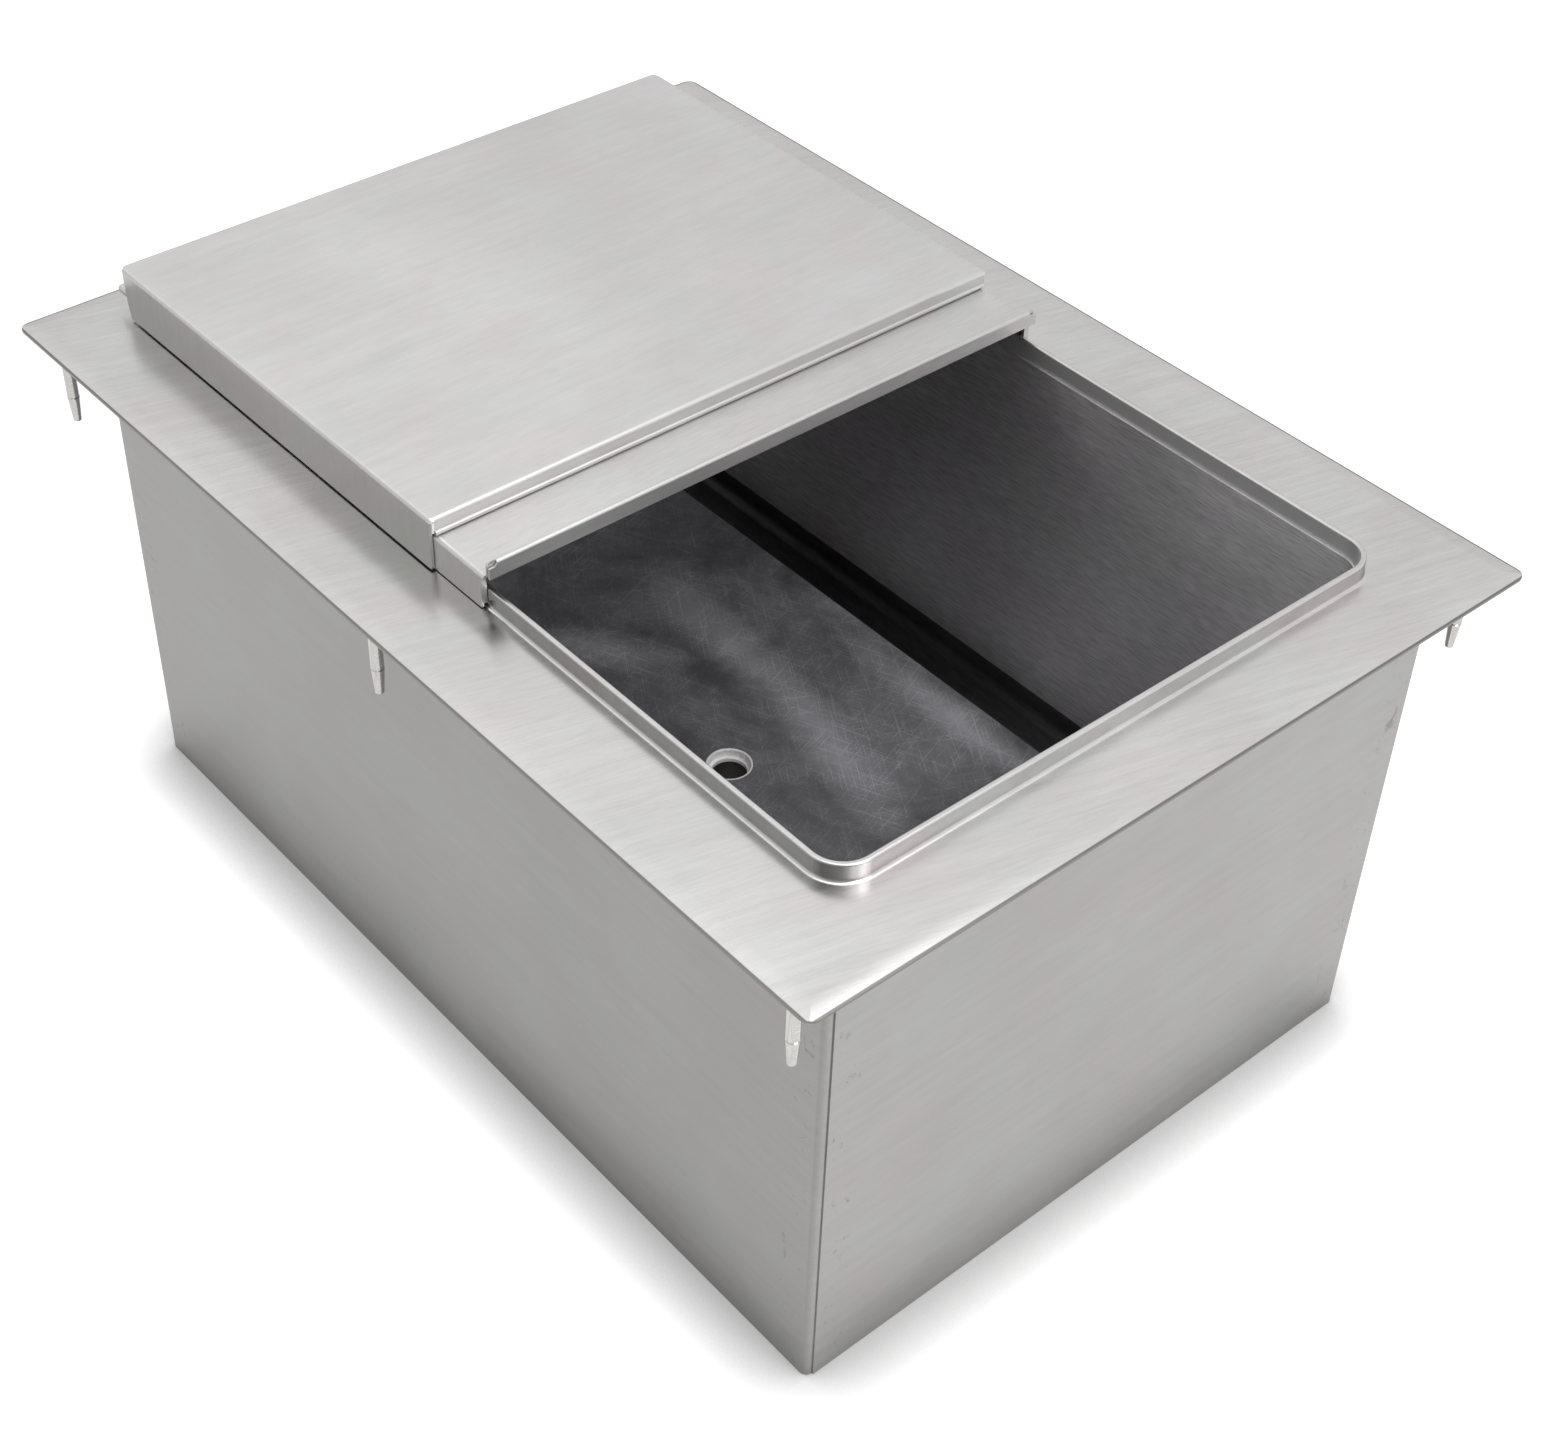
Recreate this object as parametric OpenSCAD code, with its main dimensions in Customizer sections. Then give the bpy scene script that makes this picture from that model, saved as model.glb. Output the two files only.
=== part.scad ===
/* [Outer case] */
// Length of the outer case, left to right
case_l = 562; // [480:2:640]
// Width of the outer case, front to back
case_w = 373; // [320:1:430]
// Height of the outer case, from its foot to the underside of the flange
case_h = 284; // [220:2:340]
// Thickness of the case and liner sheet
wall_t = 0.9; // [0.7:0.1:1.5]
// Outer bend radius at the upright corners of the front and back panels
case_bend = 4; // [3:0.5:6]
// Depth of the returns that the end panels are spot welded to
return_w = 14; // [10:1:20]
// Width of the inward flange along the top of each case panel
top_flange_w = 12; // [8:1:16]
// Height of the upturned edge of the bottom pan
pan_up = 15; // [8:1:30]

/* [Flange] */
// How far the flange reaches past the case at each end
overhang_end = 24; // [20:1:50]
// How far the flange reaches past the case at the front and back
overhang_side = 33; // [28:1:60]
// Thickness of the flange and rim sheet
deck_t = 1.2; // [0.9:0.1:2]
// Corner radius of the flange
flange_corner = 6; // [3:1:15]
// Width of the rolled-down border of the flange
roll_w = 9; // [5:1:12]
// How far the border is rolled down at its edge
roll_drop = 1; // [0.4:0.2:3]

/* [Raised rim] */
// Distance from the case face in to the outer wall of the rim
rim_inset = 20; // [16:1:40]
// Height of the rim above the flange
rim_h = 9.6; // [6:0.2:20]
// Gap between the two sheets of the folded rim
rim_gap = 0.6; // [0.2:0.1:3]
// Corner radius of the rim at its outer wall
rim_corner = 18; // [15:1:45]
// Radius of the bend at the foot of the rim
foot_r = 2; // [1:0.5:4]
// Radius of the outer edges of the fold
fold_r = 1; // [0.5:0.1:1.2]
// How far the inner leg laps down behind the liner
lap = 12; // [6:1:20]

/* [Liner and floor] */
// Height of the gutter floor above the foot of the case
floor_h = 69; // [50:1:90]
// Inner radius of the coved foot of the liner
cove_r = 6; // [3:1:10]
// Height of the floor pan's wall above the gutter floor
cove_up = 15; // [12:1:30]
// Thickness of the cast floor plate
plate_t = 7; // [4:1:20]
// Width of the gutter between the floor plate and the liner
gutter_w = 24.6; // [12:0.2:45]
// Corner radius of the floor plate
plate_corner = 14; // [6:1:30]
// Rounding of the floor plate's top edge
plate_edge = 1.5; // [0.5:0.5:3]

/* [Drain] */
// Outer diameter of the bright collar in the floor plate
collar_d = 25.4; // [22:0.2:26]
// Bore of the collar
collar_bore = 23; // [16:0.5:24]
// Bore of the ledge at the collar's foot
ledge_bore = 19.4; // [14:0.2:22]
// Height of the ledge
ledge_h = 2.2; // [1:0.2:4]
// Outer diameter of the drain pipe
pipe_d = 33.4; // [30:0.2:36]
// Bore of the drain pipe
pipe_bore = 26.6; // [20:0.2:28]
// Outer diameter of the socket on the pipe
socket_d = 41.3; // [39:0.1:50]
// Length of the socket
socket_l = 29; // [20:1:45]
// Bore of the socket's outlet
outlet_bore = 30.3; // [24:0.1:32]
// Depth of the outlet below the pipe's end
outlet_l = 11; // [6:1:15]

/* [Mounting studs] */
// Diameter of the studs under the flange
stud_d = 6.35; // [5:0.05:8]
// Length of a stud's plain shank
stud_l = 35; // [25:1:60]
// Length of the tapered nose on each stud
nose_l = 15; // [8:1:20]
// Diameter at the tip of the nose
nose_tip_d = 4.4; // [4.2:0.1:6]
// Diameter of the weld collar at the head of a stud
weld_d = 7.8; // [7:0.2:7.8]
// Distance from the corner studs in to the end of the flat, beside the rolled border
stud_from_end = 13.6; // [4:0.2:18]
// Distance from the studs in to the side of the flat, beside the rolled border
stud_from_side = 4; // [4:0.5:10]
// How far the middle studs stand left of the middle
mid_stud_shift = 5; // [0:0.5:20]

/* [Covers] */
// Thickness of the cover sheet
cover_t = 1.2; // [0.8:0.1:2]
// Length of the upper cover
upper_l = 272.6; // [200:0.2:285]
// How far the finger lip stands out past the upper cover
lip_reach = 39.8; // [25:0.2:60]
// Height of the finger lip above the lower cover
lip_h = 7.4; // [5:0.2:10]
// How far the covers reach past the left end of the rim
cover_past = 18.4; // [10:0.2:24]
// Height of the lower cover's skirts above the flange
skirt_gap = 0.6; // [0.4:0.1:3]
// Height of the upper cover's skirts above the flange
upper_skirt_gap = 1.1; // [0.4:0.1:3]
// Length of the stop tongue at the left end of the lower cover
tongue_l = 9.5; // [6:0.5:14]
// How far the stop tongue is stepped down
joggle = 6.3; // [4:0.1:9]
// Depth of the turned edges of the tongue
tongue_edge = 3.2; // [2.6:0.2:6]
// Gap from the rim top up to the tongue
tongue_clear = 2.3; // [1:0.1:5]
// Gap between the rim and the skirts of the lower cover
guide_gap = 2.3; // [0.6:0.1:3]
// Gap between the skirts of the two covers
cover_side_gap = 0.9; // [0.3:0.1:2]
// Bend radius along the top edges of the covers
cover_bend = 2; // [1.5:0.1:3.5]
// Radius of the left upright corners of the upper cover
cover_corner = 4.6; // [3.6:0.2:12]
// Diameter of the bead along the foot of the upper cover's right end
bead_d = 2.5; // [1.6:0.1:3.5]
// Gap inside the folded hem of the finger lip
hem_gap = 0.4; // [0.2:0.1:1]
// Width of the notches at the ends of the finger lip's hem
notch_w = 4.5; // [2:0.5:6]
// Depth of the notches
notch_h = 2.8; // [1.6:0.2:4]
// Radius of the finger lip's corners
lip_corner = 2.4; // [1.5:0.1:4]
// Height of the chamfer at the foot of the upper cover's left end
skirt_chamfer_h = 8; // [3:1:10]

/* [Hidden] */
$fn = 96;

// Gap left between parts that slide past each other
slide_gap = 0.3;
// Gap left between parts that are assembled and stay put
seat_gap = 0.1;
// Extra reach of a cutting shape past the face that it cuts
past = 1;
// Gap under the finger lip's way, and between the bead and the lower cover
lip_clear = 0.7;
bead_clear = 0.4;
// Height of the upper cover's left end wall above the tongue
stop_clear = 1.7;
// Inner radius of the tight bends in the cover sheet
tight_inner_r = 0.4;
// Depth of the liner's top edge below the top of the flange
liner_drop = 0.7;

case_x = case_l / 2;
case_y = case_w / 2;
flange_x = case_x + overhang_end;
flange_y = case_y + overhang_side;
deck_top = case_h + deck_t;
roll_r = (roll_w * roll_w + roll_drop * roll_drop) / (2 * roll_drop);

rim_fold = 2 * deck_t + rim_gap;
rim_x = case_x - rim_inset;
rim_y = case_y - rim_inset;
rim_top = deck_top + rim_h;

// The liner's walls hang inside the inner leg of the rim
liner_x = rim_x - rim_fold - seat_gap;
liner_y = rim_y - rim_fold - seat_gap;
liner_corner = rim_corner - rim_fold - seat_gap;
liner_top = deck_top - liner_drop;
leg_foot = liner_top - lap;
pan_join = floor_h + cove_up;

plate_x = liner_x - wall_t - gutter_w;
plate_y = liner_y - wall_t - gutter_w;
plate_top = floor_h + plate_t;

// The end panels lap over the returns of the front and back panels
panel_in_x = case_x - 2 * wall_t;
panel_in_y = case_y - wall_t;
panel_flat_x = panel_in_x + wall_t - case_bend;
end_panel_y = case_y - case_bend;
// Outer bend radius of the top flanges and of the bottom pan, and the relief at the ends of a bend
top_bend = 2;
pan_bend = 2;
notch = 1;
pan_x = panel_in_x - seat_gap;
pan_y = panel_in_y - seat_gap;
// The pan's corners pass inside the bends of the front and back panels
pan_corner_more = 1;
pan_corner = case_bend + pan_corner_more;

// Insulation boards fill the space between the liner and the case
board_top = case_h - top_bend - seat_gap;
board_split = floor_h - wall_t - seat_gap;
board_in_x = rim_x - rim_fold + deck_t + 2 * seat_gap;
board_in_y = rim_y - rim_fold + deck_t + 2 * seat_gap;
board_out_x = case_x - wall_t - seat_gap;
board_out_y = case_y - wall_t - seat_gap;
base_x = pan_x - pan_bend - seat_gap;
base_y = pan_y - pan_bend - seat_gap;

// The socket ends just above the case's foot, and a shoulder in it carries the pipe
socket_foot = 1;
pipe_foot = socket_foot + outlet_l;
// Rounding of the collar's inner edge
lip_round = 0.6;
// Rubber ring round the socket: its height and width above the pan, and its neck in the pan's hole
grommet_h = 5;
grommet_w = 5.5;
grommet_neck = 2.6;
grommet_r = socket_d / 2 + seat_gap;
// Room round the rubber ring in the foam
grommet_room = 1;

stud_x = flange_x - roll_w - stud_from_end;
stud_y = flange_y - roll_w - stud_from_side;
stud_foot = case_h - stud_l;
// Weld collar's height, and the thinner end of the stud that its nose is fixed on
weld_h = 2.5;
spigot_d = 3;
spigot_l = 8;
// Chamfers that meet in a groove where a nose joins its stud, and the rounding of the nose's tip
groove = 0.5;
tip_r = 1;

// Heights of the two covers, stacked up from the rim
tongue_top = rim_top + tongue_clear + cover_t;
lower_top = tongue_top + joggle;
lip_top = lower_top + lip_h;
upper_top = lip_top + lip_clear + cover_t;
skirt_foot = deck_top + skirt_gap;
upper_foot = deck_top + upper_skirt_gap;

lower_y = rim_y + guide_gap + cover_t;
upper_y = lower_y + cover_side_gap + cover_t;
upper_x0 = -(rim_x + cover_past);
upper_x1 = upper_x0 + upper_l;
lower_x0 = upper_x0 + cover_t + slide_gap;
lip_x = upper_x1 + lip_reach;
tongue_x = lower_x0 - tongue_l;
tight_bend = cover_t + tight_inner_r;
stop_foot = tongue_top + stop_clear;
end_foot = lower_top + bead_clear;
// The lower cover's skirts start behind the upper cover's corner, whose skirts end in a chamfer
skirt_back = 4;
lower_skirt_x = upper_x0 + cover_corner + skirt_back;
skirt_chamfer_w = 2;
// The upper cover's right corners are nearly sharp, just wider than its top bend
end_corner_more = 0.5;
end_corner = cover_bend + end_corner_more;
// The finger lip ends just short of the skirts' outsides, and the skirts end short of the lip's bend
lip_short = 1.6;
skirt_short = 2;
// The lower cover's left corners keep clear of the upper cover's
nest_corner = cover_corner - cover_t - slide_gap;

steel = [0.78, 0.78, 0.77];
bright = [0.88, 0.88, 0.87];
shade = [0.62, 0.62, 0.62];
cast_grey = [0.36, 0.36, 0.37];
foam = [0.93, 0.89, 0.72];
black = [0.12, 0.12, 0.12];

// Rounded rectangle from x0 to x1, with a corner radius for each end
module outline(x0, x1, hy, rl, rr) {
    translate([x0 + rl, -hy]) square([x1 - x0 - rl - rr, 2 * hy]);
    translate([x0, rl - hy]) square([rl, 2 * (hy - rl)]);
    translate([x1 - rr, rr - hy]) square([rr, 2 * (hy - rr)]);
    for (side = [-1, 1]) {
        translate([x0 + rl, side * (hy - rl)]) circle(rl);
        translate([x1 - rr, side * (hy - rr)]) circle(rr);
    }
}

// Rounded rectangle centred on the origin
module plate_outline(hx, hy, r) {
    outline(-hx, hx, hy, r, r);
}

// Runs a profile along a straight that faces +Y, x of the profile pointing outwards
module straight(from_x, to_x, y) {
    translate([from_x, y, 0]) rotate([90, 0, 90]) linear_extrude(to_x - from_x) children();
}

// Runs a profile once round a rounded rectangle, x = 0 of the profile on its line
module around(x0, x1, hy, rl, rr) {
    straight(x0 + rl, x1 - rr, hy) children();
    rotate(180) straight(rr - x1, -x0 - rl, hy) children();
    rotate(-90) straight(rr - hy, hy - rr, x1) children();
    rotate(90) straight(rl - hy, hy - rl, -x0) children();
    translate([x1 - rr, hy - rr, 0]) rotate_extrude(angle = 90) translate([rr, 0]) children();
    translate([x1 - rr, rr - hy, 0]) rotate(-90) rotate_extrude(angle = 90) translate([rr, 0]) children();
    translate([x0 + rl, hy - rl, 0]) rotate(90) rotate_extrude(angle = 90) translate([rl, 0]) children();
    translate([x0 + rl, rl - hy, 0]) rotate(180) rotate_extrude(angle = 90) translate([rl, 0]) children();
}

// Bent corner of sheet: the quarter of a ring about a centre, towards sx and sz
module bend(centre_x, centre_z, inner_r, t, sx, sz) {
    translate([centre_x, centre_z]) intersection() {
        difference() {
            circle(inner_r + t);
            circle(inner_r);
        }
        translate([min(0, sx * (inner_r + t)), min(0, sz * (inner_r + t))]) square(inner_r + t);
    }
}

// Solid with a rounded top edge, between the heights z0 and z1: a core inside a border
module rounded_block(x0, x1, hy, rl, rr, z0, z1, r) {
    border = (min(rl, rr) + r) / 2;
    translate([0, 0, z0]) linear_extrude(z1 - z0) outline(x0 + r, x1 - r, hy - r, rl - r, rr - r);
    around(x0, x1, hy, rl, rr) {
        translate([-border, z0]) square([border - r, z1 - z0]);
        translate([-border, z0]) square([border, z1 - r - z0]);
        intersection() {
            translate([-r, z1 - r]) circle(r);
            translate([-border, z0]) square([border, z1 - z0]);
        }
    }
}

// Shallow welded pan: a floor with a bent foot and an upturned wall
module pan(hx, hy, corner, t, foot, z0, wall_h) {
    around(-hx, hx, hy, corner, corner) {
        translate([-t, z0 + foot]) square([t, wall_h - foot]);
        bend(-foot, z0 + foot, foot - t, t, 1, -1);
    }
    translate([0, 0, z0]) linear_extrude(t) plate_outline(hx - foot, hy - foot, corner - foot);
}

// Section of a sheet whose border curves down over roll_w; more runs the curve past its edge
module rolled_section(half, top, foot, more) {
    translate([roll_w - half, foot]) square([2 * (half - roll_w), top - foot]);
    for (side = [0, 1]) mirror([side, 0]) intersection() {
        translate([half - roll_w, top - roll_r]) circle(roll_r);
        translate([half - roll_w, foot]) square([roll_w + more, top - foot]);
    }
}

// Slab whose top curves down along all four sides
module rolled_slab(top, foot, more) {
    intersection() {
        rotate([90, 0, 0]) linear_extrude(2 * (flange_y + more), center = true)
            rolled_section(flange_x, top, foot, more);
        rotate([90, 0, 90]) linear_extrude(2 * (flange_x + more), center = true)
            rolled_section(flange_y, top, foot, more);
    }
}

// Folded rim: bend up from the deck, outer leg, rounded fold and the long inner leg
module rim_section() {
    bend(foot_r, deck_top + foot_r, foot_r, deck_t, -1, -1);
    difference() {
        union() {
            translate([-rim_fold, deck_top + foot_r]) square([rim_fold, rim_h - foot_r - fold_r]);
            translate([fold_r - rim_fold, rim_top - fold_r]) square([rim_fold - 2 * fold_r, fold_r]);
            translate([-fold_r, rim_top - fold_r]) circle(fold_r);
            translate([fold_r - rim_fold, rim_top - fold_r]) circle(fold_r);
        }
        translate([deck_t - rim_fold, deck_top]) square([rim_gap, rim_h - deck_t]);
    }
    translate([-rim_fold, leg_foot]) square([deck_t, deck_top + foot_r - leg_foot]);
}

module flange_deck() {
    color(steel) {
        difference() {
            intersection() {
                rolled_slab(deck_top, case_h - roll_drop, 0);
                translate([0, 0, case_h - roll_drop - past]) linear_extrude(deck_t + roll_drop + 2 * past)
                    plate_outline(flange_x, flange_y, flange_corner);
            }
            rolled_slab(case_h, case_h - roll_drop - past, past);
            translate([0, 0, case_h - past]) linear_extrude(deck_t + 2 * past)
                plate_outline(rim_x + foot_r, rim_y + foot_r, rim_corner + foot_r);
        }
        around(-rim_x, rim_x, rim_y, rim_corner, rim_corner) rim_section();
    }
}

module liner_walls() {
    color(shade) around(-liner_x, liner_x, liner_y, liner_corner, liner_corner)
        translate([-wall_t, pan_join]) square([wall_t, liner_top - pan_join]);
}

module liner_floor() {
    color(shade) difference() {
        pan(liner_x, liner_y, liner_corner, wall_t, cove_r + wall_t, floor_h - wall_t, cove_up + wall_t);
        drill(collar_bore / 2 + seat_gap, floor_h - wall_t, floor_h);
    }
}

module floor_plate() {
    color(cast_grey) difference() {
        rounded_block(-plate_x, plate_x, plate_y, plate_corner, plate_corner, floor_h, plate_top, plate_edge);
        drill(collar_d / 2 + seat_gap, floor_h, plate_top);
    }
}

// Upright hole on the drain's axis, cut past both faces
module drill(r, z0, z1) {
    translate([0, 0, z0 - past]) cylinder(r = r, h = z1 - z0 + 2 * past);
}

// Tube on the drain's axis
module sleeve(r_out, r_in, z0, z1) {
    difference() {
        translate([0, 0, z0]) cylinder(r = r_out, h = z1 - z0);
        drill(r_in, z0, z1);
    }
}

// Top edge of a case panel that faces +Y: bend and inward flange, in place of the plain edge
module panel_top(half, y) {
    straight(-half, half, y) {
        bend(-top_bend, case_h - top_bend, top_bend - wall_t, wall_t, 1, 1);
        translate([-top_flange_w, case_h - wall_t]) square([top_flange_w - top_bend, wall_t]);
    }
}

// Front or back panel, drawn facing +Y: face, upright bends and the returns at its ends
module long_panel() {
    top_half = panel_flat_x - notch;
    difference() {
        linear_extrude(case_h) {
            translate([-panel_flat_x, panel_in_y]) square([2 * panel_flat_x, wall_t]);
            for (side = [0, 1]) mirror([side, 0]) {
                bend(panel_flat_x, case_y - case_bend, case_bend - wall_t, wall_t, 1, 1);
                translate([panel_in_x, case_y - case_bend - return_w]) square([wall_t, return_w]);
            }
        }
        translate([-top_half, panel_in_y - past, case_h - top_bend])
            cube([2 * top_half, wall_t + 2 * past, top_bend + past]);
    }
    panel_top(top_half, case_y);
}

// Flat end panel, drawn facing +Y, lapped over the returns of the front and back panels
module short_panel() {
    top_half = end_panel_y - return_w - notch;
    difference() {
        translate([-end_panel_y, case_x - wall_t, 0]) cube([2 * end_panel_y, wall_t, case_h]);
        translate([-top_half, case_x - wall_t - past, case_h - top_bend])
            cube([2 * top_half, wall_t + 2 * past, top_bend + past]);
    }
    panel_top(top_half, case_x);
}

module case_back() {
    color(steel) long_panel();
}

module case_front() {
    color(steel) rotate(180) long_panel();
}

module case_right() {
    color(steel) rotate(-90) short_panel();
}

module case_left() {
    color(steel) rotate(90) short_panel();
}

module case_bottom() {
    color(steel) difference() {
        pan(pan_x, pan_y, pan_corner, wall_t, pan_bend, 0, pan_up);
        drill(grommet_r + grommet_neck + seat_gap, 0, wall_t);
    }
}

// Insulation board, drawn on the +Y side
module board(half, y_in, y_out) {
    color(foam) translate([-half, y_in, board_split + seat_gap])
        cube([2 * half, y_out - y_in, board_top - board_split - seat_gap]);
}

module insulation_back() {
    board(panel_flat_x, board_in_y, board_out_y);
}

module insulation_front() {
    rotate(180) board(panel_flat_x, board_in_y, board_out_y);
}

module insulation_right() {
    rotate(-90) board(board_in_y - seat_gap, board_in_x, board_out_x);
}

module insulation_left() {
    rotate(90) board(board_in_y - seat_gap, board_in_x, board_out_x);
}

module insulation_base() {
    z0 = wall_t + seat_gap;
    color(foam) difference() {
        translate([0, 0, z0]) linear_extrude(board_split - z0) plate_outline(base_x, base_y, case_bend);
        drill(grommet_r + grommet_w + grommet_room, z0, board_split);
    }
}

module drain_collar() {
    color(bright) rotate_extrude() difference() {
        translate([ledge_bore / 2, floor_h]) square([(collar_d - ledge_bore) / 2, plate_t]);
        translate([ledge_bore / 2 - past, floor_h + ledge_h])
            square([(collar_bore - ledge_bore) / 2 + past, plate_t]);
        // Rounded lip
        translate([collar_bore / 2 - past, plate_top - lip_round]) difference() {
            square([lip_round + past, lip_round + past]);
            translate([lip_round + past, 0]) circle(lip_round);
        }
    }
}

module drain_pipe() {
    color(bright) sleeve(pipe_d / 2, pipe_bore / 2, pipe_foot, floor_h - wall_t);
}

module drain_socket() {
    color(bright) difference() {
        sleeve(socket_d / 2, outlet_bore / 2, socket_foot, socket_foot + socket_l);
        translate([0, 0, pipe_foot]) cylinder(r = pipe_d / 2 + seat_gap / 2, h = socket_l);
    }
}

module drain_grommet() {
    color(black) {
        sleeve(grommet_r + grommet_neck, grommet_r, seat_gap, wall_t);
        sleeve(grommet_r + grommet_w, grommet_r, wall_t, wall_t + grommet_h);
    }
}

// Places its children at the six studs
module at_studs() {
    for (x = [-stud_x, -mid_stud_shift, stud_x], y = [-stud_y, stud_y]) translate([x, y, 0]) children();
}

module mounting_studs() {
    color(bright) at_studs() {
        translate([0, 0, stud_foot + groove]) cylinder(d = stud_d, h = stud_l - groove);
        translate([0, 0, stud_foot]) cylinder(d1 = stud_d - 2 * groove, d2 = stud_d, h = groove);
        translate([0, 0, case_h - weld_h]) cylinder(d1 = stud_d, d2 = weld_d, h = weld_h);
        translate([0, 0, stud_foot - spigot_l]) cylinder(d = spigot_d, h = spigot_l);
    }
}

module stud_noses() {
    nose_foot = stud_foot - nose_l;
    color(bright) at_studs() difference() {
        rotate_extrude() {
            translate([0, nose_foot]) square([nose_tip_d / 2 - tip_r, 2 * tip_r]);
            intersection() {
                translate([nose_tip_d / 2 - tip_r, nose_foot + tip_r]) circle(tip_r);
                translate([nose_tip_d / 2 - tip_r, nose_foot]) square([tip_r, 2 * tip_r]);
            }
            polygon([[0, nose_foot + tip_r], [nose_tip_d / 2, nose_foot + tip_r], [stud_d / 2, stud_foot - groove],
                [stud_d / 2 - groove, stud_foot], [0, stud_foot]]);
        }
        translate([0, 0, stud_foot - spigot_l - seat_gap]) cylinder(d = spigot_d + 2 * seat_gap, h = spigot_l + past);
    }
}

// Across section of an inverted channel, filled: flat top with two rounded edges
module arch(hy, foot, top, r) {
    translate([-hy, foot]) square([2 * hy, top - r - foot]);
    translate([r - hy, top - r]) square([2 * (hy - r), r]);
    for (side = [-1, 1]) translate([side * (hy - r), top - r]) circle(r);
}

// Inverted channel of cover sheet that runs along X
module channel(x0, x1, hy, foot, top, r) {
    translate([x0, 0, 0]) rotate([90, 0, 90]) linear_extrude(x1 - x0) difference() {
        arch(hy, foot, top, r);
        arch(hy - cover_t, foot - past, top - cover_t, r - cover_t);
    }
}

// Runs a profile in X and Z across the covers, from -half to half in Y
module across(half) {
    translate([0, half, 0]) rotate([90, 0, 0]) linear_extrude(2 * half) children();
}

module upper_cover() {
    window_y = lower_y + slide_gap;
    color(steel) {
        difference() {
            rounded_block(upper_x0, upper_x1, upper_y, cover_corner, end_corner, upper_foot, upper_top, cover_bend);
            rounded_block(upper_x0 + cover_t, upper_x1 - cover_t, upper_y - cover_t, cover_corner - cover_t,
                end_corner - cover_t, upper_foot - past, upper_top - cover_t, cover_bend - cover_t);
            // Right end: open under the bead, so that the lower cover runs out
            translate([upper_x1 - 2 * cover_t, -window_y, upper_foot - past])
                cube([2 * cover_t + past, 2 * window_y, end_foot + bead_d / 2 - upper_foot + past]);
            translate([upper_x1 - cover_t, -upper_y - past, upper_foot - past])
                cube([cover_t + past, 2 * (upper_y + past), end_foot + bead_d / 2 - upper_foot + past]);
            // Left end: open under the stop flange, so that the tongue stands out
            translate([upper_x0 - past, -upper_y - past, upper_foot - past])
                cube([cover_corner + past, 2 * (upper_y + past), stop_foot - upper_foot + past]);
            // Chamfer at the foot of the skirts
            across(upper_y + past) polygon([
                [upper_x0 + cover_corner - past, upper_foot - past],
                [upper_x0 + cover_corner - past, upper_foot + skirt_chamfer_h],
                [upper_x0 + cover_corner, upper_foot + skirt_chamfer_h],
                [upper_x0 + cover_corner + skirt_chamfer_w, upper_foot],
                [upper_x0 + cover_corner + skirt_chamfer_w, upper_foot - past]]);
        }
        across(upper_y - end_corner) translate([upper_x1 - cover_t + bead_d / 2, end_foot + bead_d / 2])
            circle(d = bead_d);
    }
}

// Step down from the lower cover's top to its tongue
module joggle_section() {
    inner_r = tight_inner_r;
    bend(lower_x0 + tight_bend, lower_top - tight_bend, inner_r, cover_t, -1, 1);
    translate([lower_x0, tongue_top + inner_r])
        square([cover_t, lower_top - tight_bend - tongue_top - inner_r]);
    bend(lower_x0 - inner_r, tongue_top + inner_r, inner_r, cover_t, 1, -1);
}

// Finger lip: bend up from the top, inner leaf, folded hem and outer leaf
module lip_section() {
    inner_r = tight_inner_r;
    hem_r = cover_t + hem_gap / 2;
    leaf_x = lip_x - 2 * hem_r;
    bend(leaf_x - inner_r, lower_top + inner_r, inner_r, cover_t, 1, -1);
    translate([leaf_x, lower_top + inner_r]) square([cover_t, lip_h - inner_r - hem_r]);
    translate([lip_x - cover_t, lower_top - cover_t]) square([cover_t, lip_h + cover_t - hem_r]);
    translate([lip_x - hem_r, lip_top - hem_r]) intersection() {
        difference() {
            circle(hem_r);
            circle(hem_gap / 2);
        }
        translate([-hem_r, 0]) square([2 * hem_r, hem_r]);
    }
}

// What lies outside the lower cover's rounded left corners, above its tongue
module nest_relief() {
    relief_foot = stop_foot - slide_gap;
    translate([0, 0, relief_foot]) linear_extrude(lower_top - relief_foot + past) difference() {
        translate([lower_x0 - past, -lower_y - past]) square([nest_corner + past, 2 * (lower_y + past)]);
        outline(lower_x0, lower_x0 + 3 * nest_corner, lower_y, nest_corner, nest_corner);
    }
}

// Left end of the lower cover above its tongue: top, skirts and the step down
module stepped_end(tongue_foot) {
    difference() {
        union() {
            // Skirts beside the step, down to the turned edges of the tongue
            for (side = [0, 1]) mirror([0, side, 0]) translate([lower_x0, lower_y - cover_t, tongue_foot])
                cube([tight_bend, cover_t, lower_top - cover_bend - tongue_foot]);
            intersection() {
                across(lower_y) joggle_section();
                translate([lower_x0 - tongue_l, 0, 0]) rotate([90, 0, 90])
                    linear_extrude(2 * tongue_l + tight_bend)
                        arch(lower_y, tongue_top - cover_t, lower_top, cover_bend);
            }
        }
        nest_relief();
    }
}

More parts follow.
